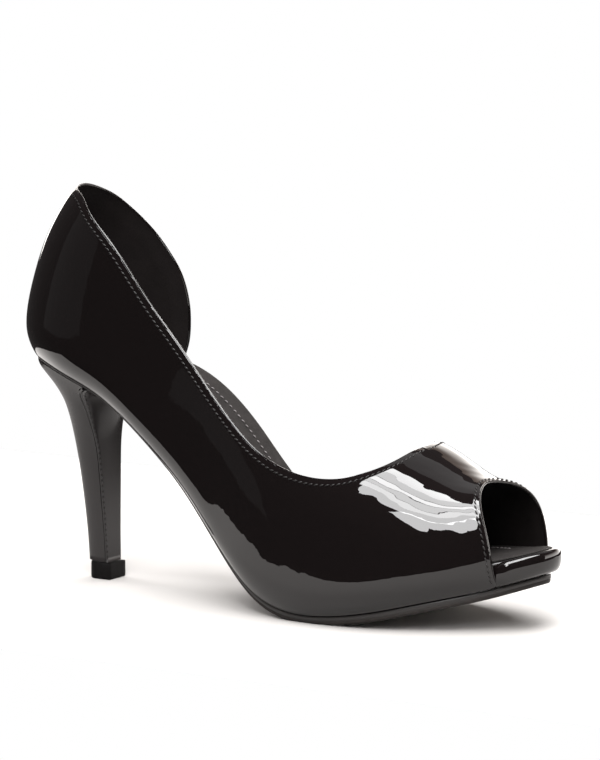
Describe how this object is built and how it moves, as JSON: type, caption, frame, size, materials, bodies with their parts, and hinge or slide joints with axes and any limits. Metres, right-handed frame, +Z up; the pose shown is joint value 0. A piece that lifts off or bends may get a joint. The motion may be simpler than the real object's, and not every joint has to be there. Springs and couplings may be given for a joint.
{
  "type": "peep toe pump",
  "caption": "Women's right shoe: glossy peep toe pump, cut away on the inner side, with a hidden platform and a slim covered high heel.",
  "frame": {"origin": "on the floor, under the middle of the shoe's footprint box", "axes": "+X towards the toe, +Y towards the foot's inner side, +Z up"},
  "size_m": [0.2392, 0.0804, 0.1561],
  "materials": {
    "patent_leather": "high gloss patent",
    "patent_lip": "high gloss patent",
    "heel_cover": "gloss patent",
    "insole_wrap": "satin",
    "sock_lining": "matt pebbled",
    "outsole": "matt",
    "tip_rubber": "matt"
  },
  "bodies": {
    "root": {"upper": "patent_leather", "outsole": "outsole", "platform": "patent_lip", "insole": "insole_wrap", "sock": "sock_lining", "heel": "heel_cover", "breast_cover": "heel_cover", "heel_tip": "tip_rubber"}
  },
  "joints": []
}
